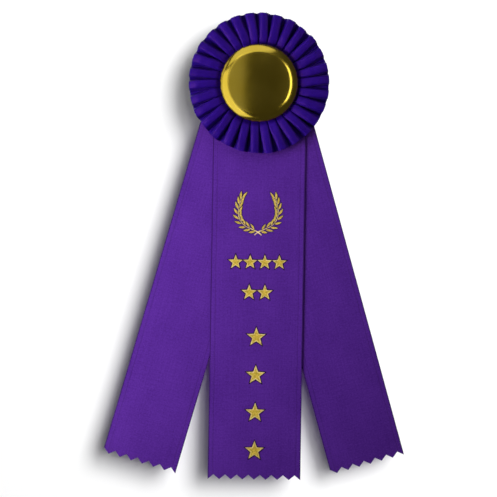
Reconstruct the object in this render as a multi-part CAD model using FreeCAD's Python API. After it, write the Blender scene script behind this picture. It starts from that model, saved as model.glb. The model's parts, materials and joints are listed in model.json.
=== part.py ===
import FreeCAD, Part
import math
import os

# Award ribbon: a rosette with a gilt button, three streamers, and a bar pin on its back.
#
# Millimetres. +Z is up and the front faces -Y, with +X to the viewer's right.
# The origin is on the axis of the pin's needle, straight behind the rosette's middle line.
# A depth is the distance in front of the needle's axis, so depth d is the plane y = -d.

Vector = FreeCAD.Vector
forward = Vector(0, -1, 0)
tolerance = 1e-6

# Rosette
rosette_z = -8.0                 # height of the rosette's centre, below the pin
ruffle_radius = 38.8
ruffle_hole_radius = 12.6
card_radius = 28.0
back_card_radius = 29.0
glue_layer_radius = 26.0

# Layers, from the back to the front
pin_reach = 2.0                  # needle's axis to the pin's base
pin_base_thickness = 0.6
foam_thickness = 1.0
back_card_thickness = 0.6
glue_layer_thickness = 0.6
ribbon_thickness = 0.25
ribbon_gap = 0.20
front_card_thickness = 1.4

foam_depth = pin_reach + pin_base_thickness
back_card_depth = foam_depth + foam_thickness
glue_layer_depth = back_card_depth + back_card_thickness
right_depth = glue_layer_depth + glue_layer_thickness
left_depth = right_depth + ribbon_thickness + ribbon_gap
centre_depth = left_depth + ribbon_thickness + ribbon_gap
front_card_depth = centre_depth + ribbon_thickness
ruffle_depth = front_card_depth + front_card_thickness

# Ruffle: how far its front stands from the front card, from the hole out to the rim
ruffle_hole_height = 2.0
ruffle_pressed_radius = 22.0     # the button presses the pleats flat as far as here
ruffle_pressed_height = 2.6
ruffle_shoulder_radius = 24.5
ruffle_shoulder_height = 4.8
ruffle_crown_radius = 33.5
ruffle_crown_height = 5.6
ruffle_rim_height = 4.6
ruffle_rim_lift = 0.6            # the rim's back edge stands this far forward of the card

# Button
button_radius = 21.4
button_edge_radius = 7.5         # the broad rounding outside the face
button_curl_radius = 1.6         # the tight roll round the widest line
button_edge_turn = 50.0          # degrees, where the broad rounding meets the tight roll
button_rise = 4.76               # widest line to the top of the face
button_flange_radius = 18.3      # where the turned-in rim ends
button_back_depth = ruffle_depth + 2.85
foil_cover_thickness = 0.15
shell_thickness = 0.45
back_plate_thickness = 0.4
glue_pad_radius = 12.4

# Streamers: the lower end's middle is given from the rosette's centre, as (x, z).
# A lean is in degrees from straight down, positive to the viewer's right.
centre_width = 50.8
centre_length = 227.0
centre_end = (-2.8, -217.0)
centre_lean = -0.95
side_width = 41.5
side_length = 225.0
left_end = (-65.8, -207.8)
left_lean = -16.5
right_end = (59.6, -209.0)
right_lean = 15.3
pinking_pitch = 6.35
pinking_depth = 2.6
bend_drop = 40.3                 # rosette's centre down to the line where the streamers bend
bend_gap = 0.3                   # between a streamer's fixed tab and its hanging tail

# Foil stamping, placed down the centre streamer by its drop below the rosette's centre
foil_thickness = 0.12
wreath_drop = 70.8
wreath_half_width = 10.9         # to the stems, at the wreath's widest height
wreath_radius = 8.8              # the lower bend, up to the widest height
wreath_upper_radius = 20.0       # the gentler bend above it
wreath_arc_start = -70.0         # degrees, where the straight stem joins the lower bend
wreath_arc_end = 26.0            # degrees, where the upper bend ends
stem_slope = 24.0
stem_width = 0.5
stem_tail = 2.0                  # past the crossing, sideways
stem_spans = 24
leaf_pairs = 8
leaf_first = 2.6                 # along the stem from the crossing
leaf_pitch = 3.1
leaf_spans = 6
leaf_length = 3.1
leaf_width = 1.2
leaf_splay = 27.0
leaf_clearance = 0.1
star_points = 5
star_inner_ratio = 0.42
star_pitch_ratio = 1.95          # distance between stars in a row, as a share of their radius
upper_row_drop = 98.0
upper_row_radius = 4.1
upper_row_count = 4
lower_row_drop = 114.6
lower_row_radius = 4.4
lower_row_count = 2
column_drops = (139.0, 159.8, 180.4, 201.2)
column_radius = 5.4

# Staples through the card and the streamers' tabs
staple_wire = 0.5
staple_crown = 12.0
staple_clinch = 3.5
staple_heights = (3.0, -6.0)     # from the rosette's centre

# Stitching round the ruffle's inner edge
stitch_radius = 15.5
stitch_wire = 0.2
stitch_height = 2.42

# Bar pin
base_length = 33.0
base_width = 5.0
base_corner = 1.2
foam_length = 30.0
foam_width = 4.4
needle_radius = 0.4
needle_straight = 20.0           # even shaft, centred on the origin
needle_taper = 5.8
needle_tip_radius = 0.05
hinge_x = 14.0
eye_radius = 1.0
eye_width = 1.4
shank_radius = 0.6
shank_overlap = 0.8              # from the rivet's axis, inside the eye's wall
rivet_radius = 0.45
rivet_clearance = 0.05
rivet_head_radius = 0.8
rivet_head_height = 0.3
ear_gap = 1.8
ear_thickness = 0.5
ear_radius = 1.3
catch_start_x = -15.6
catch_length = 4.6
clip_width = 1.1
clip_inner_radius = 1.6
clip_outer_radius = 2.2
clip_slot = 2.2
foot_thickness = 0.35
foot_width = 4.0
foot_overhang = 0.3
sleeve_outer_radius = 1.5
sleeve_inner_radius = 0.85
sleeve_slot = 1.3
wing_width = 1.6
wing_thickness = 0.6
wing_root = 1.2
wing_reach = 3.8


def at(x, z, depth):
    """A point given by x and z from the rosette's centre, at a depth."""
    return Vector(x, -depth, rosette_z + z)


def disc(radius, depth, thickness):
    """A round plate about the rosette's axis."""
    return Part.makeCylinder(radius, thickness, at(0, 0, depth), forward)


def plate(outline, depth, thickness):
    """A flat plate from (x, z) points given from the rosette's centre."""
    points = [at(x, z, depth) for x, z in outline]
    face = Part.Face(Part.makePolygon(points + [points[0]]))
    return face.extrude(forward * thickness)


def box(low, high):
    """A box between two corners in the part's own frame."""
    return Part.makeBox(high[0] - low[0], high[1] - low[1], high[2] - low[2], Vector(*low))


def pieces(shape):
    """One solid, or a compound where there are several."""
    shape = shape.removeSplitter()
    return shape.Solids[0] if len(shape.Solids) == 1 else Part.makeCompound(shape.Solids)


# Button

def button_layer(outer, thickness):
    """One skin of the button, turned from its section: face, broad rounding, tight roll and flange."""
    widest_depth = button_back_depth + button_curl_radius
    curl_x = button_radius - button_curl_radius
    turn = math.radians(button_edge_turn)
    edge_x = curl_x - (button_edge_radius - button_curl_radius) * math.sin(turn)
    edge_depth = widest_depth - (button_edge_radius - button_curl_radius) * math.cos(turn)
    rise = widest_depth + button_rise - edge_depth
    face_reach = (edge_x ** 2 + rise ** 2 - button_edge_radius ** 2) / (2 * (rise - button_edge_radius))
    face_depth = edge_depth + rise - face_reach
    meeting = math.asin(edge_x / (face_reach - button_edge_radius))

    def arc(x, depth, reach, start, end):
        """An arc about (x, depth), with angles from straight forward towards the outside."""
        angles = (start, (start + end) / 2, end)
        points = [at(x + reach * math.sin(a), 0, depth + reach * math.cos(a)) for a in angles]
        return Part.Arc(*points).toShape()

    def line(offset):
        """The section's line at one offset inwards, from the axis to the flange's end."""
        curl_end = at(curl_x, 0, button_back_depth + offset)
        flange_end = at(button_flange_radius, 0, button_back_depth + offset)
        return [
            arc(0, face_depth, face_reach - offset, 0, meeting),
            arc(edge_x, edge_depth, button_edge_radius - offset, meeting, turn),
            arc(curl_x, widest_depth, button_curl_radius - offset, turn, math.pi / 2),
            arc(curl_x, widest_depth, button_curl_radius - offset, math.pi / 2, math.pi),
            Part.LineSegment(curl_end, flange_end).toShape(),
        ]

    outside = line(outer)
    inside = line(outer + thickness)
    axis_side = Part.LineSegment(outside[0].firstVertex().Point, inside[0].firstVertex().Point).toShape()
    flange_side = Part.LineSegment(outside[-1].lastVertex().Point, inside[-1].lastVertex().Point).toShape()
    edges = Part.__sortEdges__(outside + inside + [axis_side, flange_side])
    return Part.Face(Part.Wire(edges)).revolve(at(0, 0, 0), forward, 360)


def button_back_plate():
    depth = button_back_depth + foil_cover_thickness + shell_thickness
    return disc(button_radius - button_curl_radius, depth, back_plate_thickness)


def button_glue_pad():
    """Fills the ruffle's hole between the front card and the button's back plate."""
    plate_depth = button_back_depth + foil_cover_thickness + shell_thickness
    return pieces(disc(glue_pad_radius, ruffle_depth, plate_depth - ruffle_depth).cut(streamer_staples()))


# Ruffle

def pleated_ruffle():
    """The space that the pleats fill: pressed thin under the button, open at the rim."""
    section = [
        (ruffle_hole_radius, 0),
        (card_radius, 0),
        (ruffle_radius, ruffle_rim_lift),
        (ruffle_radius, ruffle_rim_height),
        (ruffle_crown_radius, ruffle_crown_height),
        (ruffle_shoulder_radius, ruffle_shoulder_height),
        (ruffle_pressed_radius, ruffle_pressed_height),
        (ruffle_hole_radius, ruffle_hole_height),
    ]
    points = [at(radius, 0, ruffle_depth + height) for radius, height in section]
    face = Part.Face(Part.makePolygon(points + [points[0]]))
    return face.revolve(at(0, 0, 0), forward, 360)


def ruffle_stitching():
    return Part.makeTorus(stitch_radius, stitch_wire, at(0, 0, ruffle_depth + stitch_height), forward)


# Cards, glue and staples

def streamer_staples():
    """Crowns on the front card's face, legs through the stack, and ends clinched behind it."""
    stack = ruffle_depth - right_depth
    leg_x = staple_crown / 2 - staple_wire
    solids = []
    for z in staple_heights:
        low = rosette_z + z - staple_wire / 2
        high = low + staple_wire
        front = -ruffle_depth - staple_wire
        staple = box((-staple_crown / 2, front, low), (staple_crown / 2, -ruffle_depth, high))
        for side in (-1, 1):
            inner, outer = sorted((side * leg_x, side * staple_crown / 2))
            leg = box((inner, -ruffle_depth, low), (outer, -ruffle_depth + stack, high))
            near, far = sorted((side * (leg_x - staple_clinch), side * staple_crown / 2))
            clinch = box((near, -right_depth, low), (far, -right_depth + staple_wire, high))
            staple = staple.fuse(leg).fuse(clinch)
        solids.append(staple.removeSplitter().Solids[0])
    return Part.makeCompound(solids)


def front_card_disc():
    return pieces(disc(card_radius, front_card_depth, front_card_thickness).cut(streamer_staples()))


def back_glue_layer():
    return pieces(disc(glue_layer_radius, glue_layer_depth, glue_layer_thickness).cut(streamer_staples()))


def back_card_disc():
    return disc(back_card_radius, back_card_depth, back_card_thickness)


# Streamers

def streamer_point(end, lean, across, up):
    """(x, z) of a point on a streamer, across to the viewer's right and up from its lower end."""
    turn = math.radians(lean)
    x = end[0] + across * math.cos(turn) - up * math.sin(turn)
    z = end[1] + across * math.sin(turn) + up * math.cos(turn)
    return x, z


def pinked_edge(width):
    """(across, up) points of the zigzag lower end, with a tooth's tip on the right-hand edge."""
    half_pitch = pinking_pitch / 2
    count = int(width / half_pitch + tolerance)
    points = [(width / 2 - i * half_pitch, pinking_depth * (i % 2)) for i in range(count + 1)]
    rest = width / half_pitch - count
    if rest > tolerance:
        last = pinking_depth * (count % 2)
        following = pinking_depth - last
        points.append((-width / 2, last + (following - last) * rest))
    return points


def streamer(end, lean, width, length, depth):
    """The whole streamer as one flat strip, square at the top and pinked at the bottom."""
    outline = [(-width / 2, length), (width / 2, length)] + pinked_edge(width)
    return plate([streamer_point(end, lean, a, u) for a, u in outline], depth, ribbon_thickness)


def fixed_tab(strip):
    """The streamer's upper end, held between the cards."""
    floor = rosette_z - bend_drop + bend_gap / 2
    above = box((-ruffle_radius * 2, -ruffle_depth, floor), (ruffle_radius * 2, 0, ruffle_radius))
    return pieces(strip.common(above).cut(streamer_staples()))


def hanging_tail(strip):
    """The streamer's free part, below the line where it bends."""
    ceiling = rosette_z - bend_drop - bend_gap / 2
    below = box((-side_length, -ruffle_depth, ceiling - side_length), (side_length, 0, ceiling))
    return pieces(strip.common(below))


# Foil stamping on the centre streamer

def stamp(outlines):
    """Thin foil shapes from closed lists of (across, drop) points on the centre streamer."""
    depth = centre_depth + ribbon_thickness
    solids = []
    for outline in outlines:
        points = [streamer_point(centre_end, centre_lean, a, -centre_end[1] - d) for a, d in outline]
        solids.append(plate(points, depth, foil_thickness))
    return Part.makeCompound(solids)


def star(across, drop, radius):
    """A star with one point up."""
    points = []
    for i in range(2 * star_points):
        reach = radius if i % 2 == 0 else radius * star_inner_ratio
        turn = math.pi * i / star_points
        points.append((across + reach * math.sin(turn), drop - reach * math.cos(turn)))
    return points


def star_row(drop, radius, count):
    pitch = radius * star_pitch_ratio
    return stamp([star((i - (count - 1) / 2) * pitch, drop, radius) for i in range(count)])


def stem_place(along):
    """(across, rise above the wreath's centre, heading) along the right-hand stem from the crossing."""
    start = math.radians(wreath_arc_start)
    slope = math.radians(stem_slope)
    join_x, join_z, _ = wreath_bend(wreath_radius, start)
    straight = stem_straight()
    widest = straight - wreath_radius * start
    if along < straight:
        back = straight - along
        return join_x - back * math.cos(slope), join_z - back * math.sin(slope), slope
    if along < widest:
        return wreath_bend(wreath_radius, start + (along - straight) / wreath_radius)
    return wreath_bend(wreath_upper_radius, (along - widest) / wreath_upper_radius)


def wreath_bend(radius, angle):
    """(across, rise, heading) on a bend that passes through the wreath's widest place."""
    middle = wreath_half_width - radius
    return middle + radius * math.cos(angle), radius * math.sin(angle), angle + math.pi / 2


def stem_straight():
    """Length of the straight stem, from the crossing to the lower bend."""
    join_x = wreath_bend(wreath_radius, math.radians(wreath_arc_start))[0]
    return join_x / math.cos(math.radians(stem_slope))


def stem_length():
    lower = -wreath_radius * math.radians(wreath_arc_start)
    return stem_straight() + lower + wreath_upper_radius * math.radians(wreath_arc_end)


def stem_outline():
    """A narrow band along the stem, from its tail beyond the crossing to its top."""
    first = -stem_tail / math.cos(math.radians(stem_slope))
    stations = [first + (stem_length() - first) * i / stem_spans for i in range(stem_spans + 1)]
    sides = [[], []]
    for along in stations:
        x, z, heading = stem_place(along)
        for side, sign in ((0, 1), (1, -1)):
            shift = sign * stem_width / 2
            sides[side].append((x - shift * math.sin(heading), z + shift * math.cos(heading)))
    return sides[0] + sides[1][::-1]


def leaf_outline(along, sign):
    """A pointed leaf that starts beside the stem and turns away from it; sign 0 is the top leaf."""
    x, z, heading = stem_place(along)
    shift = sign * (stem_width / 2 + leaf_clearance)
    x -= shift * math.sin(heading)
    z += shift * math.cos(heading)
    heading += sign * math.radians(leaf_splay)
    right = [(i / leaf_spans, math.sin(math.pi * i / leaf_spans)) for i in range(leaf_spans + 1)]
    left = [(share, -bulge) for share, bulge in right[-2:0:-1]]
    points = []
    for share, bulge in right + left:
        forth = share * leaf_length
        out = bulge * leaf_width / 2
        points.append((x + forth * math.cos(heading) - out * math.sin(heading),
                       z + forth * math.sin(heading) + out * math.cos(heading)))
    return points


def foil_wreath():
    """Two laurel branches that cross at the bottom and stay open at the top."""
    leaves = [leaf_outline(leaf_first + leaf_pitch * i, sign) for i in range(leaf_pairs) for sign in (-1, 1)]
    leaves.append(leaf_outline(stem_length() + leaf_clearance, 0))
    stems = []
    shapes = []
    for mirror in (1, -1):
        stems.append([(mirror * x, wreath_drop - z) for x, z in stem_outline()])
        shapes += [[(mirror * x, wreath_drop - z) for x, z in leaf] for leaf in leaves]
    stem_solids = stamp(stems).Solids
    crossed = stem_solids[0].fuse(stem_solids[1]).removeSplitter()
    return Part.makeCompound(crossed.Solids + stamp(shapes).Solids)


# Bar pin

def pin_foam_pad():
    """Double-sided foam between the back card and the pin's base."""
    return box((-foam_length / 2, -back_card_depth, -foam_width / 2),
               (foam_length / 2, -foam_depth, foam_width / 2))


def pin_base():
    """The bar, with two ears that carry the rivet."""
    bar = box((-base_length / 2, -foam_depth, -base_width / 2), (base_length / 2, -pin_reach, base_width / 2))
    corners = [e for e in bar.Edges if abs(e.Length - pin_base_thickness) < tolerance]
    bar = bar.makeFillet(base_corner, corners)
    for side in (-1, 1):
        low, high = sorted((side * ear_gap / 2, side * (ear_gap / 2 + ear_thickness)))
        web = box((hinge_x - ear_radius, -pin_reach, low), (hinge_x + ear_radius, 0, high))
        top = Part.makeCylinder(ear_radius, ear_thickness, Vector(hinge_x, 0, low))
        bar = bar.fuse(web).fuse(top)
    reach = ear_gap + 2 * ear_thickness
    hole = Part.makeCylinder(rivet_radius, reach, Vector(hinge_x, 0, -reach / 2))
    return pieces(bar.cut(hole))


def pin_hinge_rivet():
    shaft_length = ear_gap + 2 * ear_thickness
    rivet = Part.makeCylinder(rivet_radius, shaft_length, Vector(hinge_x, 0, -shaft_length / 2))
    for low in (-shaft_length / 2 - rivet_head_height, shaft_length / 2):
        rivet = rivet.fuse(Part.makeCylinder(rivet_head_radius, rivet_head_height, Vector(hinge_x, 0, low)))
    return pieces(rivet)


def pin_needle():
    """Eye round the rivet, thick shank, even shaft and tapered point, towards -X."""
    towards_tip = Vector(-1, 0, 0)
    half = needle_straight / 2
    eye = Part.makeCylinder(eye_radius, eye_width, Vector(hinge_x, 0, -eye_width / 2))
    bore = Part.makeCylinder(rivet_radius + rivet_clearance, eye_width, Vector(hinge_x, 0, -eye_width / 2))
    shank_start = hinge_x - shank_overlap
    shank = Part.makeCylinder(shank_radius, shank_start - half, Vector(shank_start, 0, 0), towards_tip)
    shaft = Part.makeCylinder(needle_radius, needle_straight, Vector(half, 0, 0), towards_tip)
    point = Part.makeCone(needle_radius, needle_tip_radius, needle_taper, Vector(-half, 0, 0), towards_tip)
    return pieces(eye.cut(bore).fuse(shank).fuse(shaft).fuse(point))


def pin_catch():
    """A foot on the bar with two open clips that hold the turning sleeve."""
    end_x = catch_start_x + catch_length
    foot_top = -pin_reach + foot_thickness
    catch = box((catch_start_x - foot_overhang, -pin_reach, -foot_width / 2),
                (end_x + foot_overhang, foot_top, foot_width / 2))
    for low_x in (catch_start_x, end_x - clip_width):
        start = Vector(low_x, 0, 0)
        ring = Part.makeCylinder(clip_outer_radius, clip_width, start, Vector(1, 0, 0))
        ring = ring.cut(Part.makeCylinder(clip_inner_radius, clip_width, start, Vector(1, 0, 0)))
        reach = 2 * clip_outer_radius
        opening = box((low_x, 0, -clip_slot / 2), (low_x + clip_width, reach, clip_slot / 2))
        under_bar = box((low_x, -reach, -reach), (low_x + clip_width, -pin_reach, reach))
        catch = catch.fuse(ring.cut(opening).cut(under_bar))
    return pieces(catch)


def pin_catch_sleeve():
    """The safety sleeve: a slotted tube round the needle's point, with a thumb wing."""
    start = Vector(catch_start_x, 0, 0)
    along = Vector(1, 0, 0)
    tube = Part.makeCylinder(sleeve_outer_radius, catch_length, start, along)
    middle_x = catch_start_x + catch_length / 2
    wing = box((middle_x - wing_width / 2, -wing_thickness / 2, wing_root),
               (middle_x + wing_width / 2, wing_thickness / 2, wing_reach))
    bore = Part.makeCylinder(sleeve_inner_radius, catch_length, start, along)
    slot = box((catch_start_x, 0, -sleeve_slot / 2),
               (catch_start_x + catch_length, 2 * sleeve_outer_radius, sleeve_slot / 2))
    return pieces(tube.fuse(wing).cut(bore).cut(slot))


def model():
    """Every node's name and shape."""
    centre = streamer(centre_end, centre_lean, centre_width, centre_length, centre_depth)
    left = streamer(left_end, left_lean, side_width, side_length, left_depth)
    right = streamer(right_end, right_lean, side_width, side_length, right_depth)
    return {
        "button_foil_cover": button_layer(0, foil_cover_thickness),
        "button_shell": button_layer(foil_cover_thickness, shell_thickness),
        "button_back_plate": button_back_plate(),
        "button_glue_pad": button_glue_pad(),
        "pleated_ruffle": pleated_ruffle(),
        "ruffle_stitching": ruffle_stitching(),
        "front_card_disc": front_card_disc(),
        "centre_streamer_tab": fixed_tab(centre),
        "left_streamer_tab": fixed_tab(left),
        "right_streamer_tab": fixed_tab(right),
        "centre_streamer_tail": hanging_tail(centre),
        "left_streamer_tail": hanging_tail(left),
        "right_streamer_tail": hanging_tail(right),
        "streamer_staples": streamer_staples(),
        "back_glue_layer": back_glue_layer(),
        "back_card_disc": back_card_disc(),
        "foil_wreath": foil_wreath(),
        "foil_star_row_upper": star_row(upper_row_drop, upper_row_radius, upper_row_count),
        "foil_star_row_lower": star_row(lower_row_drop, lower_row_radius, lower_row_count),
        "foil_star_column": stamp([star(0, drop, column_radius) for drop in column_drops]),
        "pin_foam_pad": pin_foam_pad(),
        "pin_base": pin_base(),
        "pin_hinge_rivet": pin_hinge_rivet(),
        "pin_needle": pin_needle(),
        "pin_catch": pin_catch(),
        "pin_catch_sleeve": pin_catch_sleeve(),
    }


def write_parts():
    os.makedirs("parts", exist_ok=True)
    for name, shape in model().items():
        if not shape.isValid():
            raise ValueError(name + " is not valid")
        shape.exportStep("parts/" + name + ".step")
        size = shape.BoundBox
        print(name, len(shape.Solids), "solids", round(shape.Volume, 3), "mm3",
              [round(v, 2) for v in (size.XMin, size.XMax, size.YMin, size.YMax, size.ZMin, size.ZMax)])


write_parts()
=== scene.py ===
"""Looks for the award ribbon: satin streamers, pleated ruffle, gilt button, gold stamping and bar pin.

Metres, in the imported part's frame: +Z up, front towards -Y, +X to the viewer's right.
"""
import json
import math
import random

import bmesh
import bpy
import numpy as np
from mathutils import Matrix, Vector, noise


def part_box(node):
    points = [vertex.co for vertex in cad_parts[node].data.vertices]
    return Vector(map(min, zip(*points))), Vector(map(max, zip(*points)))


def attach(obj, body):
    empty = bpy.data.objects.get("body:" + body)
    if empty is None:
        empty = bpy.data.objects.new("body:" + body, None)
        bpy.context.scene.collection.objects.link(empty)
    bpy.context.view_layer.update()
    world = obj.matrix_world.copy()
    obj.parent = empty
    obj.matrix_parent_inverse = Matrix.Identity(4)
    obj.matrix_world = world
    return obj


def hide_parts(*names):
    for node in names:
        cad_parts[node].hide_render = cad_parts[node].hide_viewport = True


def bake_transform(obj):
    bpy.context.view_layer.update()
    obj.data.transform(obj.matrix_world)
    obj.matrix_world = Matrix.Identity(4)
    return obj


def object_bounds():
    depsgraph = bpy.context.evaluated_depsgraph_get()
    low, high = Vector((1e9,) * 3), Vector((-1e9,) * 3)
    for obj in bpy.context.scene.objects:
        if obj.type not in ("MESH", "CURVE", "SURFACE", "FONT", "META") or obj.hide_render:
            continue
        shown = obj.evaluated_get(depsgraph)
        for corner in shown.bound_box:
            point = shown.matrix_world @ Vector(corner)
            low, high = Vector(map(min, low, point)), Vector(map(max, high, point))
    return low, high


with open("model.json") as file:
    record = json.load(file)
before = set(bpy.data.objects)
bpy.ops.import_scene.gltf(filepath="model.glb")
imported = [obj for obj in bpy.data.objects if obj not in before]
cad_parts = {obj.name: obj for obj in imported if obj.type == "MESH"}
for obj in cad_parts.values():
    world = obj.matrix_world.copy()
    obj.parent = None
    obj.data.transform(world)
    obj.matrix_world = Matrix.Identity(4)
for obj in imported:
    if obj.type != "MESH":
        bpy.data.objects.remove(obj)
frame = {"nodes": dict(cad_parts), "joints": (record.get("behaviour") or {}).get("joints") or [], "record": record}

MM = 0.001
TINY = 1e-6                               # more than any rounding error
cad_low, cad_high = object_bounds()

# ---------------------------------------------------------------- places taken from the frame

ruffle_low, ruffle_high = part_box("pleated_ruffle")
button_low, button_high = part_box("button_foil_cover")
ROSETTE_X = (ruffle_low.x + ruffle_high.x) / 2
ROSETTE_Z = (ruffle_low.z + ruffle_high.z) / 2
RUFFLE_RADIUS = (ruffle_high.x - ruffle_low.x) / 2
RUFFLE_BACK_Y = ruffle_high.y
BUTTON_RADIUS = (button_high.x - button_low.x) / 2
BUTTON_BACK_Y = button_high.y
JOINTS = {j["name"]: j for j in frame["joints"]}

# ---------------------------------------------------------------- sizes of the soft and stamped pieces

RIBBON = 0.22 * MM                        # thickness of the cloth
PINKING_PITCH = 6.35 * MM
PINKING_DEPTH = 2.6 * MM
SELVAGE = 2.7 * MM                        # from a long edge to the line inside it
RIB_PITCH = 0.45 * MM                     # of the weave's fine ribs

# Streamers: lower end's middle from the rosette's centre (x, z), lean from straight down, width and length
STREAMERS = {
    "centre": {"end": (-2.8 * MM, -217.0 * MM), "lean": -0.95, "width": 50.8 * MM, "length": 227.0 * MM},
    "left": {"end": (-65.8 * MM, -207.8 * MM), "lean": -16.5, "width": 41.5 * MM, "length": 225.0 * MM},
    "right": {"end": (59.6 * MM, -209.0 * MM), "lean": 15.3, "width": 41.5 * MM, "length": 225.0 * MM},
}

# Stamping, placed by its drop below the rosette's centre; a row of stars has a label, drop, radius and count
WREATH_DROP = 70.8 * MM
STAR_ROWS = (("upper", 98.0 * MM, 4.1 * MM, 4), ("lower", 114.6 * MM, 4.4 * MM, 2))
STAR_PITCH = 1.95                         # in a row, as a share of the star's radius
STAR_COLUMN_DROPS = (139.0 * MM, 159.8 * MM, 180.4 * MM, 201.2 * MM)
STAR_COLUMN_RADIUS = 5.4 * MM
STAR_INNER = 0.42                         # a notch's reach, as a share of a tip's
STAR_TIP_MARGIN = 1.8                     # how much wider the band of painted shadow is at a tip than at a notch


# ---------------------------------------------------------------- helpers for meshes

def new_piece(name, verts, faces, ribbon=None, smooth=True):
    """A mesh object; ribbon holds each point's place on its flat cloth, in millimetres, for the weave."""
    mesh = bpy.data.meshes.new(name)
    mesh.from_pydata([tuple(v) for v in verts], [], faces)
    mesh.validate()
    if ribbon is not None:
        attribute = mesh.attributes.new("ribbon", "FLOAT_VECTOR", "POINT")
        attribute.data.foreach_set("vector", np.array(ribbon, np.float32).ravel())
    mesh.polygons.foreach_set("use_smooth", [smooth] * len(mesh.polygons))
    obj = bpy.data.objects.new(name, mesh)
    bpy.context.scene.collection.objects.link(obj)
    return obj


def apply_modifiers(obj):
    """Turns the modified shape into the object's own mesh."""
    depsgraph = bpy.context.evaluated_depsgraph_get()
    mesh = bpy.data.meshes.new_from_object(obj.evaluated_get(depsgraph))
    obj.modifiers.clear()
    obj.data = mesh
    return obj


def grid_faces(rows, columns, wrap=False):
    """Quads over a grid of points kept row by row."""
    faces = []
    span = columns if wrap else columns - 1
    for r in range(rows - 1):
        for c in range(span):
            n = (c + 1) % columns
            faces.append((r * columns + c, r * columns + n, (r + 1) * columns + n, (r + 1) * columns + c))
    return faces


def thicken(obj, thickness, offset):
    """Gives a sheet its thickness; offset -1 keeps the given surface outermost."""
    solid = obj.modifiers.new("Thickness", "SOLIDIFY")
    solid.thickness = thickness
    solid.offset = offset
    solid.use_even_offset = False
    return apply_modifiers(obj)


def edge_crease(obj, angle=50.0):
    """Smooth shading that keeps the cut edges sharp."""
    obj.data.polygons.foreach_set("use_smooth", [True] * len(obj.data.polygons))
    bm = bmesh.new()
    bm.from_mesh(obj.data)
    limit = math.radians(angle)
    for edge in bm.edges:
        edge.smooth = not (len(edge.link_faces) == 2 and edge.calc_face_angle(0.0) > limit)
    bm.to_mesh(obj.data)
    bm.free()


def recalculate_normals(obj):
    """Turns every face of a closed piece outwards."""
    bm = bmesh.new()
    bm.from_mesh(obj.data)
    bmesh.ops.recalc_face_normals(bm, faces=bm.faces)
    bm.to_mesh(obj.data)
    bm.free()


def smoothstep(value, low, high):
    """0 up to low, 1 from high on, and a smooth rise between them."""
    t = min(1.0, max(0.0, (value - low) / (high - low)))
    return t * t * (3 - 2 * t)


def between(stations, x):
    """Smooth value at x from a few (x, value) stations."""
    if x <= stations[0][0]:
        return stations[0][1]
    for (x0, v0), (x1, v1) in zip(stations, stations[1:]):
        if x <= x1:
            return v0 + (v1 - v0) * smoothstep(x, x0, x1)
    return stations[-1][1]


# ---------------------------------------------------------------- helpers for materials

class Nodes:
    """Short calls for building one material's node tree."""

    def __init__(self, name):
        self.material = bpy.data.materials.new(name)
        self.material.use_nodes = True
        self.tree = self.material.node_tree
        self.shader = self.tree.nodes["Principled BSDF"]

    def set(self, **values):
        """Constant inputs of the shader, by name with _ for a space."""
        for key, value in values.items():
            self.shader.inputs[key.replace("_", " ")].default_value = value
        return self

    def add(self, kind, settings=None, **inputs):
        node = self.tree.nodes.new(kind)
        for key, value in (settings or {}).items():
            setattr(node, key, value)
        for key, value in inputs.items():
            self.feed(node, key.replace("_", " "), value)
        return node

    def feed(self, node, key, value):
        socket = node.inputs[int(key[1:])] if key[0] == "i" and key[1:].isdigit() else node.inputs[key]
        if isinstance(value, bpy.types.NodeSocket):
            self.tree.links.new(value, socket)
        else:
            socket.default_value = value

    def math(self, operation, a, b=0.0):
        return self.add("ShaderNodeMath", {"operation": operation}, i0=a, i1=b).outputs[0]

    def noise(self, vector, scale, detail=3.0, roughness=0.5):
        return self.add("ShaderNodeTexNoise", Vector=vector, Scale=scale, Detail=detail,
                        Roughness=roughness).outputs["Fac"]

    def ramp(self, factor, stops):
        """Colour ramp from (position, colour) stops."""
        node = self.add("ShaderNodeValToRGB", Fac=factor)
        elements = node.color_ramp.elements
        while len(elements) < len(stops):
            elements.new(0.5)
        for element, (position, colour) in zip(elements, stops):
            element.position = position
            element.color = (*colour, 1.0)
        return node.outputs["Color"]

    def range(self, value, low, high, to_low, to_high):
        return self.add("ShaderNodeMapRange", Value=value, From_Min=low, From_Max=high,
                        To_Min=to_low, To_Max=to_high).outputs["Result"]

    def mix(self, factor, a, b):
        node = self.add("ShaderNodeMix", {"data_type": "RGBA"}, Factor=factor)
        self.feed(node, "i6", a)
        self.feed(node, "i7", b)
        return node.outputs[2]

    def scaled(self, vector, scale):
        return self.add("ShaderNodeVectorMath", {"operation": "MULTIPLY"}, i0=vector, i1=scale).outputs[0]

    def millimetres(self):
        """The place on the object, in millimetres."""
        return self.scaled(self.add("ShaderNodeTexCoord").outputs["Object"], (1 / MM,) * 3)

    def bump(self, height, distance, strength=1.0):
        node = self.add("ShaderNodeBump", Height=height, Distance=distance, Strength=strength)
        return node.outputs["Normal"]

    def link(self, value, key):
        self.tree.links.new(value, self.shader.inputs[key])
        return self


def rgba(colour):
    return (*colour, 1.0)


# ---------------------------------------------------------------- materials

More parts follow.
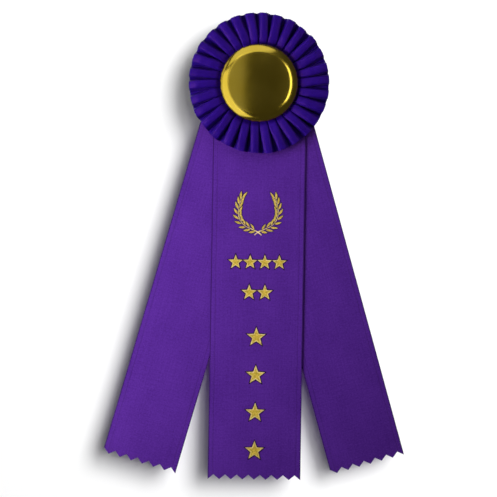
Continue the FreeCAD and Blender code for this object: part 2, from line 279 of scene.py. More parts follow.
def satin(name, dark, light, half_width=None, gloss=0.2, tint=(0.92, 0.50, 1.0)):
    """Woven satin: fine ribs, mottle and long streaks and, on a streamer, its selvages and painted shade along its
    long edges.
    """
    m = Nodes(name)
    place = m.add("ShaderNodeAttribute", {"attribute_name": "ribbon"}).outputs["Vector"]
    streaks = m.noise(m.scaled(place, (1.5, 0.03, 1.0)), 1.0, 3.0)
    picks = m.noise(m.scaled(place, (0.10, 1.7, 1.0)), 1.0, 3.0)
    mottle = m.noise(m.scaled(place, (1.1, 1.1, 1.0)), 1.0, 4.0, 0.7)
    cloud = m.noise(m.scaled(place, (0.05, 0.03, 1.0)), 1.0, 2.0)
    tone = m.math("ADD", m.math("MULTIPLY", streaks, 0.14), m.math("MULTIPLY", picks, 0.14))
    tone = m.math("ADD", tone, m.math("MULTIPLY", mottle, 0.52))
    tone = m.math("ADD", tone, m.math("MULTIPLY", cloud, 0.20))
    colour = m.ramp(tone, [(0.40, dark), (0.60, light)])
    xyz = m.add("ShaderNodeSeparateXYZ", i0=place)
    ribs = m.math("SINE", m.math("MULTIPLY", xyz.outputs["Y"], 2 * math.pi * MM / RIB_PITCH))
    weave = m.math("ADD", m.math("MULTIPLY", ribs, 0.4), m.math("MULTIPLY", mottle, 2.5))
    weave = m.math("ADD", weave, m.math("MULTIPLY", picks, 0.4))
    if half_width is not None:
        inset = m.math("SUBTRACT", half_width, m.math("ABSOLUTE", xyz.outputs["X"]))
        line = m.math("ABSOLUTE", m.math("SUBTRACT", inset, SELVAGE / MM))
        mark = m.range(line, 0.0, 0.40, 1.0, 0.0)
        # Painted shade: darkens the cloth within 0.75 mm of each long edge, partly the sealed edge's own darkness
        # and partly shade falling at the edge.
        edge = m.range(inset, 0.25, 0.75, 1.0, 0.0)
        selvage_and_edge_shade = m.math("MAXIMUM", m.math("MULTIPLY", mark, 0.32), m.math("MULTIPLY", edge, 0.72))
        colour = m.mix(selvage_and_edge_shade, colour, rgba([c * 0.25 for c in dark]))
        weave = m.math("SUBTRACT", weave, m.math("MULTIPLY", mark, 1.5))
    m.link(colour, "Base Color")
    m.link(m.range(mottle, 0.2, 0.8, 0.44, 0.60), "Roughness")
    m.link(m.bump(weave, 0.035 * MM, 0.6), "Normal")
    m.set(Sheen_Weight=0.04, Sheen_Roughness=0.35, Sheen_Tint=rgba((0.45, 0.20, 1.0)))
    m.set(Specular_IOR_Level=gloss, Specular_Tint=rgba(tint))
    return m.material


def metal(name, colour, roughness):
    """Metal with fine uneven polish."""
    m = Nodes(name)
    place = m.millimetres()
    fine = m.noise(place, 1.0, 5.0)
    broad = m.noise(place, 0.12, 2.0)
    dim = [c * 0.86 for c in colour]
    m.link(m.ramp(broad, [(0.3, dim), (0.7, colour)]), "Base Color")
    m.link(m.range(fine, 0.25, 0.75, roughness - 0.04, roughness + 0.04), "Roughness")
    m.link(m.bump(fine, 0.01 * MM, 0.6), "Normal")
    m.set(Metallic=1.0)
    return m.material


def stamped_foil(name, dark, light):
    """Hot-stamped gold foil that takes the ribbon's texture."""
    m = Nodes(name)
    place = m.millimetres()
    mottle = m.noise(place, 1.1, 4.0, 0.65)
    grain = m.noise(place, 3.2, 3.0)
    m.link(m.ramp(mottle, [(0.38, dark), (0.62, light)]), "Base Color")
    m.link(m.range(grain, 0.3, 0.7, 0.30, 0.46), "Roughness")
    m.link(m.bump(grain, 0.05 * MM, 0.7), "Normal")
    m.set(Metallic=0.5)
    return m.material


def gilt_foil(name):
    """The button's smooth gilt skin."""
    m = Nodes(name)
    place = m.millimetres()
    orange_peel = m.noise(place, 1.1, 3.0)
    haze = m.noise(place, 0.09, 3.0)
    m.link(m.ramp(haze, [(0.3, (0.84, 0.59, 0.030)), (0.7, (0.91, 0.66, 0.06))]), "Base Color")
    m.link(m.range(haze, 0.3, 0.7, 0.16, 0.20), "Roughness")
    m.link(m.bump(orange_peel, 0.012 * MM, 0.4), "Normal")
    m.set(Metallic=1.0, Coat_Weight=0.7, Coat_Roughness=0.16)
    return m.material


def board(name, dark, light):
    """Paper board with short fibres and a soft surface."""
    m = Nodes(name)
    place = m.millimetres()
    fibres = m.noise(m.scaled(place, (1.0, 1.0, 0.35)), 1.6, 6.0, 0.7)
    patches = m.noise(place, 0.12, 2.0)
    tone = m.math("ADD", m.math("MULTIPLY", fibres, 0.6), m.math("MULTIPLY", patches, 0.4))
    m.link(m.ramp(tone, [(0.3, dark), (0.7, light)]), "Base Color")
    m.link(m.range(fibres, 0.2, 0.8, 0.78, 0.92), "Roughness")
    m.link(m.bump(fibres, 0.06 * MM, 0.5), "Normal")
    m.set(Specular_IOR_Level=0.2)
    return m.material


def glue(name):
    """Cloudy hot-melt glue."""
    m = Nodes(name)
    place = m.millimetres()
    lumps = m.noise(place, 0.5, 3.0)
    m.link(m.ramp(lumps, [(0.3, (0.60, 0.52, 0.36)), (0.7, (0.74, 0.67, 0.50))]), "Base Color")
    m.link(m.range(lumps, 0.3, 0.7, 0.28, 0.42), "Roughness")
    m.link(m.bump(lumps, 0.3 * MM, 0.5), "Normal")
    return m.material


def foam(name):
    """Closed-cell foam tape."""
    m = Nodes(name)
    place = m.millimetres()
    cells = m.add("ShaderNodeTexVoronoi", Vector=place, Scale=3.0).outputs["Distance"]
    m.link(m.ramp(cells, [(0.0, (0.66, 0.66, 0.63)), (0.5, (0.84, 0.84, 0.81))]), "Base Color")
    m.link(m.range(cells, 0.0, 0.6, 0.7, 0.85), "Roughness")
    m.link(m.bump(cells, 0.1 * MM, 0.6), "Normal")
    return m.material


def thread(name):
    """Twisted sewing thread."""
    m = Nodes(name)
    twist = m.add("ShaderNodeTexWave", {"bands_direction": "DIAGONAL"},
                  Vector=m.millimetres(), Scale=1.5, Distortion=1.0).outputs["Fac"]
    m.link(m.ramp(twist, [(0.0, (0.02, 0.006, 0.10)), (1.0, (0.06, 0.015, 0.24))]), "Base Color")
    m.link(m.range(twist, 0.0, 1.0, 0.6, 0.8), "Roughness")
    m.link(m.bump(twist, 0.05 * MM), "Normal")
    return m.material


def painted_shadow_band(name):
    """Near-black satin colour laid round the gold stamping: a painted shadow."""
    m = Nodes(name)
    grain = m.noise(m.millimetres(), 2.5, 3.0)
    m.link(m.ramp(grain, [(0.3, (0.004, 0.0006, 0.007)), (0.7, (0.012, 0.0015, 0.018))]), "Base Color")
    m.link(m.range(grain, 0.3, 0.7, 0.5, 0.65), "Roughness")
    m.set(Specular_IOR_Level=0.15)
    return m.material


STREAMER_DARK = (0.036, 0.0070, 0.124)
STREAMER_LIGHT = (0.064, 0.0150, 0.196)
RUFFLE_DARK = (0.0056, 0.0007, 0.074)
RUFFLE_LIGHT = (0.0115, 0.0018, 0.126)

MATERIALS = {
    "ruffle_satin": satin("ruffle_satin", RUFFLE_DARK, RUFFLE_LIGHT, gloss=0.30, tint=(0.80, 0.22, 1.0)),
    "gilt_foil": gilt_foil("gilt_foil"),
    "stamping_foil": stamped_foil("stamping_foil", (0.45, 0.31, 0.030), (0.78, 0.56, 0.08)),
    # Painted highlight: a lighter copy of the stamping foil for the raised rims and the stems.
    "foil_rim_painted_highlight": stamped_foil("foil_rim_painted_highlight", (0.62, 0.44, 0.11), (0.93, 0.74, 0.36)),
    "tinplate": metal("tinplate", (0.62, 0.62, 0.62), 0.30),
    "pin_metal": metal("pin_metal", (0.72, 0.71, 0.69), 0.24),
    "staple_wire": metal("staple_wire", (0.60, 0.60, 0.62), 0.36),
    "back_card": board("back_card", (0.70, 0.69, 0.66), (0.82, 0.81, 0.78)),
    "grey_card": board("grey_card", (0.30, 0.285, 0.26), (0.42, 0.40, 0.37)),
    "hot_melt": glue("hot_melt"),
    "foam_tape": foam("foam_tape"),
    "thread": thread("thread"),
    # Painted shadow: a near-black band round every stamped shape.
    "painted_shadow_band": painted_shadow_band("painted_shadow_band"),
}


def finish_cad_nodes():
    """Gives each CAD node its slot's material."""
    slots = {s["node"]: s["material_slot"] for s in frame["record"]["subparts"]}
    for name, obj in frame["nodes"].items():
        material = MATERIALS.get(slots[name])
        if material is not None:
            obj.data.materials.clear()
            obj.data.materials.append(material)


# ---------------------------------------------------------------- streamers

def drift(x, z):
    """How far the hanging cloth waves backwards or forwards at a place; the same for every layer."""
    drop = max(0.0, JOINTS["centre_streamer_lift"]["pos_m"][2] - z)
    grow = smoothstep(drop, 0.015, 0.16)
    wave = 0.55 * math.sin(drop / 0.031 + x / 0.045) + 0.35 * math.sin(drop / 0.019 - x / 0.06 + 1.0)
    return wave * grow * MM


def streamer_place(spec, across, up):
    """(x, z) of a point on a streamer."""
    turn = math.radians(spec["lean"])
    x = ROSETTE_X + spec["end"][0] + across * math.cos(turn) - up * math.sin(turn)
    z = ROSETTE_Z + spec["end"][1] + across * math.sin(turn) + up * math.cos(turn)
    return x, z


def pinked(across, width):
    """Height of the zigzag end at a place across the streamer, with a tooth's tip at the right edge."""
    phase = ((width / 2 - across) / PINKING_PITCH) % 1.0
    return PINKING_DEPTH * (1 - abs(2 * phase - 1))


def streamer_rows(length):
    """Distances up a streamer for the rows of its mesh, after the zigzag row; closer at the bend."""
    fine_step, coarse_step = 1.4 * MM, 3.0 * MM
    bend_up, bend_reach = length - 50 * MM, 26 * MM
    rows = [PINKING_DEPTH * 1.6, PINKING_DEPTH * 2.6]
    while rows[-1] < length:
        near_bend = abs(rows[-1] - bend_up) < bend_reach
        rows.append(min(length, rows[-1] + (fine_step if near_bend else coarse_step)))
    return rows


def streamer(side):
    """One cut length of satin, from inside the cards down to its pinked end."""
    spec = STREAMERS[side]
    width, length = spec["width"], spec["length"]
    front_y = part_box(side + "_streamer_tail")[0].y
    step = PINKING_PITCH / 4
    columns = [width / 2 - i * step for i in range(int(width / step + TINY) + 1)]
    if columns[-1] > -width / 2 + TINY:
        columns.append(-width / 2)
    rows = streamer_rows(length)
    verts, ribbon = [], []
    for row in range(len(rows) + 1):
        for across in columns:
            up = pinked(across, width) if row == 0 else rows[row - 1]
            x, z = streamer_place(spec, across, up)
            verts.append((x, front_y + drift(x, z), z))
            ribbon.append((across / MM, up / MM, 0.0))
    obj = new_piece(side + "_streamer", verts, grid_faces(len(rows) + 1, len(columns)), ribbon)
    if obj.data.polygons[0].normal.y > 0:
        obj.data.flip_normals()
    thicken(obj, RIBBON, -1.0)
    edge_crease(obj)
    obj.data.materials.append(satin(side + "_satin", STREAMER_DARK, STREAMER_LIGHT, width / 2 / MM))
    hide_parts(side + "_streamer_tab", side + "_streamer_tail")
    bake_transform(obj)
    return obj


# ---------------------------------------------------------------- ruffle

# Lengths in millimetres
PLEATS = 30
PLEAT_WIDTH = 4.7                         # a crest's width, where there is room for it
PLEAT_CLOTH = 17.0                        # length of ribbon in one pleat
PLEAT_SAMPLES = 36                        # points along one pleat's section
RUFFLE_HOLE = 13.6                        # radius
RUFFLE_ROWS = 26
RIM_ROOM = 0.30                           # left inside the CAD rim for pleats that reach further
# Height of the pleats' crests and floors above the front card at a radius, from the hole to the rim
CREST = ((13.6, 1.2), (19.5, 1.7), (21.6, 2.5), (24.0, 4.3), (29.0, 5.2), (34.0, 5.3), (38.8, 4.4))
FLOOR = ((13.6, 0.25), (28.0, 0.25), (38.8, 0.45))
# How far a fold's sides run back under its crest at a radius, as a share of its width
TUCK = ((13.6, 0.44), (21.0, 0.40), (24.5, 0.24), (30.0, 0.06), (38.8, 0.0))


def spline_value(a, b, c, d, share):
    """Value part of the way from b to c, on a smooth line that also passes a and d."""
    square = 2 * a - 5 * b + 4 * c - d
    cube = 3 * b - a - 3 * c + d
    return 0.5 * (2 * b + (c - a) * share + square * share * share + cube * share ** 3)


def closed_spline(points, period, samples):
    """Points on a smooth line through one pleat's section, which repeats after the period."""
    count = len(points)

    def point(i):
        turn, k = divmod(i, count)
        return points[k][0] + turn * period, points[k][1]

    line = []
    for s in range(samples):
        t = s / samples * count
        i = int(t)
        around = zip(point(i - 1), point(i), point(i + 1), point(i + 2))
        line.append(tuple(spline_value(*values, t - i) for values in around))
    return line


def pleat_section(pitch, radius, lean, swell):
    """One pleat's section at a radius: (millimetres round, share of the height), crest first."""
    width = min(PLEAT_WIDTH * swell, 0.90 * pitch)
    tuck = between(TUCK, radius) * width
    gap = pitch - width
    points = [(0.0, 0.70), (0.09 * width, 0.90), (0.34 * width, 0.99), (0.68 * width, 1.0),
              (0.93 * width, 0.92), (width, 0.72), (width - 0.2 * tuck + 0.12 * gap, 0.36),
              (width - tuck + 0.34 * gap, 0.06), (width + 0.5 * gap, 0.0),
              (pitch + tuck - 0.34 * gap, 0.06), (pitch + 0.2 * tuck - 0.12 * gap, 0.34)]
    return [(x + lean * h, h) for x, h in closed_spline(points, pitch, PLEAT_SAMPLES)]


def uneven_pleats():
    """How each pleat differs from an even one."""
    rng = random.Random(11)
    return [{
        "height": rng.uniform(0.90, 1.03),
        "shift": rng.uniform(-0.06, 0.06),
        "lean": rng.uniform(-0.25, 0.45),
        "swell": rng.uniform(0.92, 1.07),
        "tilt": rng.uniform(-0.22, 0.16),
        "reach": rng.uniform(-0.30, 0.20),
    } for _ in range(PLEATS)]


def ruffle_row(pleats, share):
    """One ring of points and their places on the flat cloth; share is 0 at the hole and 1 at the rim."""
    rim = RUFFLE_RADIUS / MM - RIM_ROOM
    radius = RUFFLE_HOLE + (rim - RUFFLE_HOLE) * share
    pitch = 2 * math.pi * radius / PLEATS
    crest, floor = between(CREST, radius), between(FLOOR, radius)
    verts, ribbon = [], []
    for k, pleat in enumerate(pleats):
        following = pleats[(k + 1) % PLEATS]
        section = pleat_section(pitch, radius, pleat["lean"] * share, pleat["swell"])
        for s, (x, h) in enumerate(section):
            part = x / pitch
            mix = smoothstep(part, 0.7, 1.0)
            height, shift, reach = (pleat[key] * (1 - mix) + following[key] * mix
                                    for key in ("height", "shift", "reach"))
            turn = 2 * math.pi * (k + part + shift) / PLEATS
            rise = h * (1 + pleat["tilt"] * (part - 0.3) * (1 - mix)) * height
            ripple = noise.noise(Vector((turn * 9, radius * 0.22, 3.0))) * 0.3 * share * h
            fray = noise.noise(Vector((turn * 90, h, 7.0))) * 0.30 * share ** 12
            up = floor + (crest - floor) * rise + ripple
            out = radius + (reach - 0.25 * (1 - h)) * share ** 4 + fray
            verts.append((ROSETTE_X + out * MM * math.sin(turn), RUFFLE_BACK_Y - up * MM,
                          ROSETTE_Z + out * MM * math.cos(turn)))
            ribbon.append(((k + s / len(section)) * PLEAT_CLOTH, radius - RUFFLE_HOLE, 0.0))
    return verts, ribbon


def pleated_ruffle():
    """One long ribbon, folded into pleats and gathered into a ring."""
    pleats = uneven_pleats()
    verts, ribbon = [], []
    for row in range(RUFFLE_ROWS):
        row_verts, row_ribbon = ruffle_row(pleats, row / (RUFFLE_ROWS - 1))
        verts += row_verts
        ribbon += row_ribbon
    faces = grid_faces(RUFFLE_ROWS, PLEATS * PLEAT_SAMPLES, wrap=True)
    obj = new_piece("pleated_ruffle_ribbon", verts, faces, ribbon)
    thicken(obj, RIBBON, 0.0)
    edge_crease(obj, 70.0)
    obj.data.materials.append(MATERIALS["ruffle_satin"])
    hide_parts("pleated_ruffle")
    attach(obj, "rosette")
    return obj


# ---------------------------------------------------------------- button

def button():
    """The gilt face, turned from the same section as the shell below it: a face, an edge and a curl."""
    edge = 7.5 * MM                       # radius of the rounded edge
    curl = 1.6 * MM                       # radius of the curl behind it
    turn_over = math.radians(50.0)        # slope where the edge meets the curl
    flange = 18.3 * MM                    # radius at which the curled-in rim ends
    skin = 0.15 * MM
    around = 160
    widest_y = BUTTON_BACK_Y - curl
    curl_x = BUTTON_RADIUS - curl
    edge_x = curl_x - (edge - curl) * math.sin(turn_over)
    edge_y = widest_y + (edge - curl) * math.cos(turn_over)
    rise = edge_y - button_low.y
    reach = (edge_x ** 2 + rise ** 2 - edge ** 2) / (2 * (rise - edge))
    meeting = math.asin(edge_x / (reach - edge))
    face_y = button_low.y + reach

    def arc(x, y, radius, start, end, steps, skip_first=True):
        for i in range(1 if skip_first else 0, steps + 1):
            angle = start + (end - start) * i / steps
            yield x + radius * math.sin(angle), y - radius * math.cos(angle)

    def line(offset):
        profile = list(arc(0, face_y, reach - offset, meeting / 14, meeting, 14, skip_first=False))
        profile += list(arc(edge_x, edge_y, edge - offset, meeting, turn_over, 20))
        profile += list(arc(curl_x, widest_y, curl - offset, turn_over, math.pi, 14))
        profile.append((flange, BUTTON_BACK_Y - offset))
        return profile

    outer = line(0.0)
    profile = outer + line(skin)[::-1]
    verts = []
    for radius, y in profile:
        for i in range(around):
            turn = 2 * math.pi * i / around
            verts.append((ROSETTE_X + radius * math.sin(turn), y, ROSETTE_Z + radius * math.cos(turn)))
    faces = grid_faces(len(profile), around, wrap=True)
    top_front, top_back = len(verts), len(verts) + 1
    verts.append((ROSETTE_X, face_y - reach, ROSETTE_Z))
    verts.append((ROSETTE_X, face_y - reach + skin, ROSETTE_Z))
    last = (len(profile) - 1) * around
    for i in range(around):
        n = (i + 1) % around
        faces.append((n, i, top_front))
        faces.append((last + i, last + n, top_back))
    obj = new_piece("button_gilt_face", verts, faces)
    recalculate_normals(obj)
    edge_crease(obj, 60.0)
    obj.data.materials.append(MATERIALS["gilt_foil"])
    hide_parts("button_foil_cover")
    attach(obj, "rosette")
    return obj


# ---------------------------------------------------------------- gold stamping

CENTRE = STREAMERS["centre"]
STAMP_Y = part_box("centre_streamer_tail")[0].y


def stamp_point(across, drop, height):
    """A point on the centre streamer's face, raised by height."""
    x, z = streamer_place(CENTRE, across, -CENTRE["end"][1] - drop)
    return x, STAMP_Y + drift(x, z) - height, z


def stamping(name, node, shapes):
    """Closed relief pieces from (verts, faces, materials) shapes whose verts are (across, drop, height)."""
    verts, faces, looks = [], [], []
    for shape_verts, shape_faces, shape_looks in shapes:
        base = len(verts)
        verts += [stamp_point(*v) for v in shape_verts]
        faces += [tuple(base + i for i in f) for f in shape_faces]
        looks += shape_looks
    obj = new_piece(name, verts, faces)
    obj.data.polygons.foreach_set("material_index", looks)
    recalculate_normals(obj)
    edge_crease(obj, 22.0)
    # Slot 1 is the lighter foil painted as a highlight; slot 2 is the band of painted shadow.
    for material in ("stamping_foil", "foil_rim_painted_highlight", "painted_shadow_band"):
        obj.data.materials.append(MATERIALS[material])
    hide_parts(node)
    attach(obj, "centre_tail")
    return obj


def relief(rings, top_point):
    """Five nested rings, from the cloth inwards: two bands of painted shadow, two of rim painted lighter as a
    highlight, and the middle.
    """
    verts = [p for ring in rings for p in ring] + [top_point]
    count = len(rings[0])
    faces = grid_faces(len(rings), count, wrap=True)
    faces.append(tuple(range(count))[::-1])
    last = (len(rings) - 1) * count
    faces += [(last + i, last + (i + 1) % count, len(verts) - 1) for i in range(count)]
    return verts, faces, [2] * (2 * count) + [1] * (2 * count + 1) + [0] * count


def star(across, drop, radius):
    """A star with a raised rim painted lighter as a highlight and a darker middle, inside a band of painted
    shadow.
    """
    def ring(scale, grow, height):
        points = []
        for i in range(10):
            tip = i % 2 == 0
            reach = radius * scale + STAR_TIP_MARGIN * grow if tip else radius * STAR_INNER * scale + grow
            turn = math.pi * i / 5
            points.append((across + reach * math.sin(turn), drop - reach * math.cos(turn), height))
        return points
    rings = [ring(1.0, 0.64 * MM, -0.04 * MM), ring(1.0, 0.60 * MM, 0.05 * MM), ring(1.0, 0.0, 0.07 * MM),
             ring(0.96, 0.0, 0.20 * MM), ring(0.74, 0.0, 0.16 * MM)]
    return relief(rings, (across, drop, 0.26 * MM))


WREATH_HALF_WIDTH = 10.9 * MM             # to the stems, at the wreath's widest height
WREATH_RADIUS = 8.8 * MM
WREATH_UPPER_RADIUS = 20.0 * MM
STEM_ARC_START = math.radians(-70.0)
STEM_ARC_END = math.radians(26.0)
STEM_SLOPE = math.radians(24.0)           # of the straight part above the crossing
TAIL_SLOPE = math.radians(42.0)           # of the cut end below it
TAIL_LENGTH = 2.6 * MM
LEAF_PAIRS = 9
LEAF_MARGIN = 1.6 * MM                    # from the stem's two ends to the first and last pair


def wreath_bend(radius, angle):
    """(across, rise, heading) on a bend that passes through the wreath's widest place."""
    middle = WREATH_HALF_WIDTH - radius
    return middle + radius * math.cos(angle), radius * math.sin(angle), angle + math.pi / 2


STEM_STRAIGHT = wreath_bend(WREATH_RADIUS, STEM_ARC_START)[0] / math.cos(STEM_SLOPE)
STEM_LOWER = STEM_STRAIGHT - WREATH_RADIUS * STEM_ARC_START
STEM_LENGTH = STEM_LOWER + WREATH_UPPER_RADIUS * STEM_ARC_END


def stem_place(along):
    """(across, rise from the wreath's centre, heading) along the right-hand stem from the crossing."""
    if along < STEM_STRAIGHT:
        join_x, join_z, _ = wreath_bend(WREATH_RADIUS, STEM_ARC_START)
        tail = min(0.0, along)
        back = STEM_STRAIGHT - max(0.0, along)
        return (join_x - back * math.cos(STEM_SLOPE) + tail * math.cos(TAIL_SLOPE),
                join_z - back * math.sin(STEM_SLOPE) + tail * math.sin(TAIL_SLOPE),
                STEM_SLOPE if along > 0 else TAIL_SLOPE)
    if along < STEM_LOWER:
        return wreath_bend(WREATH_RADIUS, STEM_ARC_START + (along - STEM_STRAIGHT) / WREATH_RADIUS)
    return wreath_bend(WREATH_UPPER_RADIUS, (along - STEM_LOWER) / WREATH_UPPER_RADIUS)


def leaf(x, z, heading, length, width, mirror):
    """A slender leaf that rises to its tip, with a rim painted lighter as a highlight, inside a band of painted
    shadow.
    """
    steps = 8
    lift = 0.22 * MM
    sides = [(i / steps, math.sin(math.pi * (i / steps) ** 0.9)) for i in range(steps + 1)]
    around = sides + [(share, -bulge) for share, bulge in sides[-2:0:-1]]

    def ring(inset, height, tilt=1.0):
        """The outline drawn in by inset, or grown by a negative one."""
        points = []
        for share, bulge in around:
            forth = inset + share * (length - 2 * inset)
            out = bulge * (width / 2 - 0.8 * inset)
            across = x + forth * math.cos(heading) - out * math.sin(heading)
            rise = z + forth * math.sin(heading) + out * math.cos(heading)
            points.append((mirror * across, WREATH_DROP - rise, height + lift * share * tilt))
        return points
    rings = [ring(-0.50 * MM, -0.04 * MM, 0.0), ring(-0.47 * MM, 0.03 * MM, 0.3), ring(0.0, 0.05 * MM),
             ring(0.05 * MM, 0.14 * MM), ring(0.20 * MM, 0.13 * MM)]
    middle_x = x + 0.48 * length * math.cos(heading)
    middle_z = z + 0.48 * length * math.sin(heading)
    return relief(rings, (mirror * middle_x, WREATH_DROP - middle_z, 0.16 * MM + 0.5 * lift))


def stem(mirror):
    """The branch's stem as a low rounded band."""
    steps = 30
    stations = [(STEM_LENGTH + TAIL_LENGTH) * i / steps - TAIL_LENGTH for i in range(steps + 1)]
    section = ((-0.30, -0.04), (-0.24, 0.12), (0.0, 0.20), (0.24, 0.12), (0.30, -0.04))
    verts = []
    for along in stations:
        x, z, heading = stem_place(along)
        slim = 1.0 - 0.5 * smoothstep(along, 2 * MM, 5 * MM)
        for side, height in section:
            across = x - slim * side * MM * math.sin(heading)
            rise = z + slim * side * MM * math.cos(heading)
            verts.append((mirror * across, WREATH_DROP - rise, slim * height * MM))
    faces = grid_faces(len(stations), len(section))
    count = len(section)
    for r in range(len(stations) - 1):
        faces.append((r * count, (r + 1) * count, (r + 1) * count + count - 1, r * count + count - 1))
    faces.append(tuple(range(count)))
    faces.append(tuple(range(len(verts) - count, len(verts)))[::-1])
    # The whole stem takes the lighter foil, a painted highlight.
    return verts, faces, [1] * len(faces)


def wreath():
    """Two laurel branches that cross at the bottom and stay open at the top."""
    rng = random.Random(5)
    pitch = (STEM_LENGTH - 2 * LEAF_MARGIN) / (LEAF_PAIRS - 1)
    stem_side = 0.46 * MM
    shapes = []
    for mirror in (1, -1):
        shapes.append(stem(mirror))
        for i in range(LEAF_PAIRS):
            for sign in (-1, 1):
                inner = sign > 0
                x, z, heading = stem_place(LEAF_MARGIN + i * pitch + (0.9 * MM if inner else 0.0))
                splay = math.radians(rng.uniform(30, 33) + (0 if inner else 3) - 0.30 * i * i) * sign
                length = rng.uniform(3.9, 4.3) * MM * (0.85 if i == 0 else 1.0)
                width = (1.0 if inner else 1.12) * MM
                x -= sign * stem_side * math.sin(heading)
                z += sign * stem_side * math.cos(heading)
                shapes.append(leaf(x, z, heading + splay, length, width, mirror))
    return stamping("gold_wreath", "foil_wreath", shapes)


def gold_stars():
    """Two rows of stars, and a column of larger ones below them."""
    for label, drop, radius, count in STAR_ROWS:
        pitch = radius * STAR_PITCH
        row = [star((i - (count - 1) / 2) * pitch, drop, radius) for i in range(count)]
        stamping("gold_star_row_" + label, "foil_star_row_" + label, row)
    column = [star(0.0, drop, STAR_COLUMN_RADIUS) for drop in STAR_COLUMN_DROPS]
    stamping("gold_star_column", "foil_star_column", column)


# ---------------------------------------------------------------- stage, lights and camera

PHOTO_HEIGHT = 272.4 * MM                 # what the frame covers at the streamers
CAMERA_DISTANCE = 1.3
CAMERA_X = ROSETTE_X - 5.75 * MM
CAMERA_Z = ROSETTE_Z - 90.4 * MM
AIM = Vector((CAMERA_X, STAMP_Y, CAMERA_Z))


def stage_piece(name, corners, material):
    """A plain four-cornered piece of the stage that no reflection or bounce shows."""
    piece = new_piece(name, corners, [(0, 1, 2, 3)], smooth=False)
    piece.data.materials.append(material)
    piece.visible_glossy = False
    piece.visible_diffuse = False
    return piece


def floor_paint():
    """Pale paint with a faint mottle."""
    m = Nodes("pale_floor")
    mottle = m.noise(m.add("ShaderNodeTexCoord").outputs["Object"], 30.0)
    m.link(m.ramp(mottle, [(0.0, (0.80, 0.80, 0.80)), (1.0, (0.82, 0.82, 0.82))]), "Base Color")
    m.set(Roughness=0.9)
    return m.material


def wall_paint():
    """Pale paint that is clear from behind."""
    m = Nodes("pale_wall")
    m.set(Roughness=0.95, Base_Color=rgba((0.86, 0.86, 0.86)), Specular_IOR_Level=0.0)
    clear = m.add("ShaderNodeBsdfTransparent")
    behind = m.add("ShaderNodeNewGeometry").outputs["Backfacing"]
    both = m.add("ShaderNodeMixShader", Fac=behind)
    m.feed(both, "i1", m.shader.outputs[0])
    m.feed(both, "i2", clear.outputs[0])
    m.tree.links.new(both.outputs[0], m.tree.nodes["Material Output"].inputs["Surface"])
    return m.material


def stage():
    """A pale floor under the part, and a pale wall close behind it that hides nothing from behind."""
    floor_reach, wall_reach, wall_top = 1.6, 0.7, 0.5
    floor_z = cad_low.z - 32 * MM
    wall_y = cad_high.y + 8 * MM
    corners = [(-floor_reach, -floor_reach, floor_z), (floor_reach, -floor_reach, floor_z),
               (floor_reach, floor_reach, floor_z), (-floor_reach, floor_reach, floor_z)]
    floor = stage_piece("floor", corners, floor_paint())
    corners = [(-wall_reach, wall_y, floor_z), (wall_reach, wall_y, floor_z),
               (wall_reach, wall_y, wall_top), (-wall_reach, wall_y, wall_top)]
    wall = stage_piece("wall", corners, wall_paint())
    wall.visible_transmission = False
    wall.visible_shadow = False
    return floor, wall


def softbox(name, azimuth, elevation, distance, spread, radiance, glossy=True, diffuse=True, only=None):
    """A plain softbox seen from the rosette at angles from the front, of a given angular spread.

    It lights everything but the stage, or only the given piece of the stage.
    """
    light = bpy.data.lights.new(name, "AREA")
    light.shape = "RECTANGLE"
    light.size, light.size_y = (2 * distance * math.tan(math.radians(angle / 2)) for angle in spread)
    light.energy = radiance * math.pi * light.size * light.size_y
    obj = bpy.data.objects.new(name, light)
    bpy.context.scene.collection.objects.link(obj)
    turn, lift = math.radians(azimuth), math.radians(elevation)
    towards = Vector((math.sin(turn) * math.cos(lift), -math.cos(turn) * math.cos(lift), math.sin(lift)))
    obj.location = Vector((ROSETTE_X, RUFFLE_BACK_Y, ROSETTE_Z)) + towards * distance
    obj.rotation_mode = "QUATERNION"
    obj.rotation_quaternion = (-towards).to_track_quat("-Z", "Y")
    obj.visible_camera = False
    obj.visible_glossy = glossy
    obj.visible_diffuse = diffuse
    lit = bpy.data.collections.new(name + "_lit")
    for piece in [only] if only else STAGE:
        lit.objects.link(piece)
    obj.light_linking.receiver_collection = lit
    for entry in lit.collection_objects:
        entry.light_linking.link_state = "INCLUDE" if only else "EXCLUDE"
    return obj


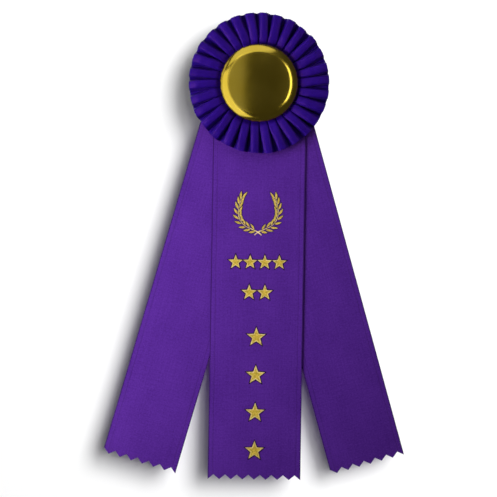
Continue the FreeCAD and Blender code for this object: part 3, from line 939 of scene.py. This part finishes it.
def lights(floor, wall):
    """The stage's own lights, then the object's: some only reflect and some only give diffuse light.

    After its name, each has its azimuth, elevation, distance, (width, height) in degrees, and radiance.
    """
    softbox("shadow_key", 32, 22, 1.7, (30, 30), 11.5, glossy=False, only=wall)
    softbox("shadow_low", 22, -8, 1.7, (36, 36), 7.2, glossy=False, only=wall)
    softbox("shadow_fill", 0, 10, 1.2, (80, 80), 0.36, glossy=False, only=wall)
    softbox("floor_wash", 0, 88, 3.0, (70, 70), 3.0, glossy=False, only=floor)
    softbox("key", -20, 42, 0.50, (24, 24), 6.3, glossy=False)
    softbox("left_key", -52, -13, 0.33, (38, 38), 14.8, glossy=False)
    softbox("left_near", -16, 5, 0.9, (16, 60), 0.24, diffuse=False)
    softbox("left_middle", -27, -2, 0.8, (9, 80), 0.46, diffuse=False)
    softbox("left_main", -55, -20, 0.8, (50, 84), 0.88, diffuse=False)
    softbox("left_side", -104, 0, 0.8, (50, 80), 0.55, diffuse=False)
    softbox("top", -26, 60, 0.8, (64, 60), 0.65, diffuse=False)
    softbox("right_strip", 35, 2, 0.9, (15, 42), 2.0, diffuse=False)
    softbox("right_fill", 62, 22, 0.40, (40, 40), 2.6, glossy=False)
    softbox("back_fill", 200, 30, 1.0, (60, 60), 2.4)
    softbox("back_panel", 180, 5, 1.0, (100, 70), 0.7, diffuse=False)


def room():
    """Faint light from everywhere, in front of a pale backdrop that only the camera sees."""
    world = bpy.data.worlds.new("studio")
    bpy.context.scene.world = world
    world.use_nodes = True
    tree = world.node_tree
    faint = tree.nodes["Background"]
    faint.inputs["Color"].default_value = rgba((1, 1, 1))
    faint.inputs["Strength"].default_value = 0.04
    seen = tree.nodes.new("ShaderNodeBackground")
    seen.inputs["Color"].default_value = rgba((0.93, 0.93, 0.93))
    path = tree.nodes.new("ShaderNodeLightPath")
    both = tree.nodes.new("ShaderNodeMixShader")
    tree.links.new(path.outputs["Is Camera Ray"], both.inputs[0])
    tree.links.new(faint.outputs[0], both.inputs[1])
    tree.links.new(seen.outputs[0], both.inputs[2])
    tree.links.new(both.outputs[0], tree.nodes["World Output"].inputs["Surface"])


def camera():
    """Straight from the front, a little below the rosette."""
    data = bpy.data.cameras.new("camera")
    data.sensor_width = 36.0
    data.lens = data.sensor_width * CAMERA_DISTANCE / PHOTO_HEIGHT
    obj = bpy.data.objects.new("camera", data)
    bpy.context.scene.collection.objects.link(obj)
    obj.location = AIM - Vector((0, CAMERA_DISTANCE, 0))
    obj.rotation_euler = (math.pi / 2, 0, 0)
    bpy.context.scene.camera = obj
    bpy.context.scene.view_settings.view_transform = "Standard"


finish_cad_nodes()
for side in STREAMERS:
    streamer(side)
pleated_ruffle()
button()
wreath()
gold_stars()
STAGE = stage()
lights(*STAGE)
room()
camera()
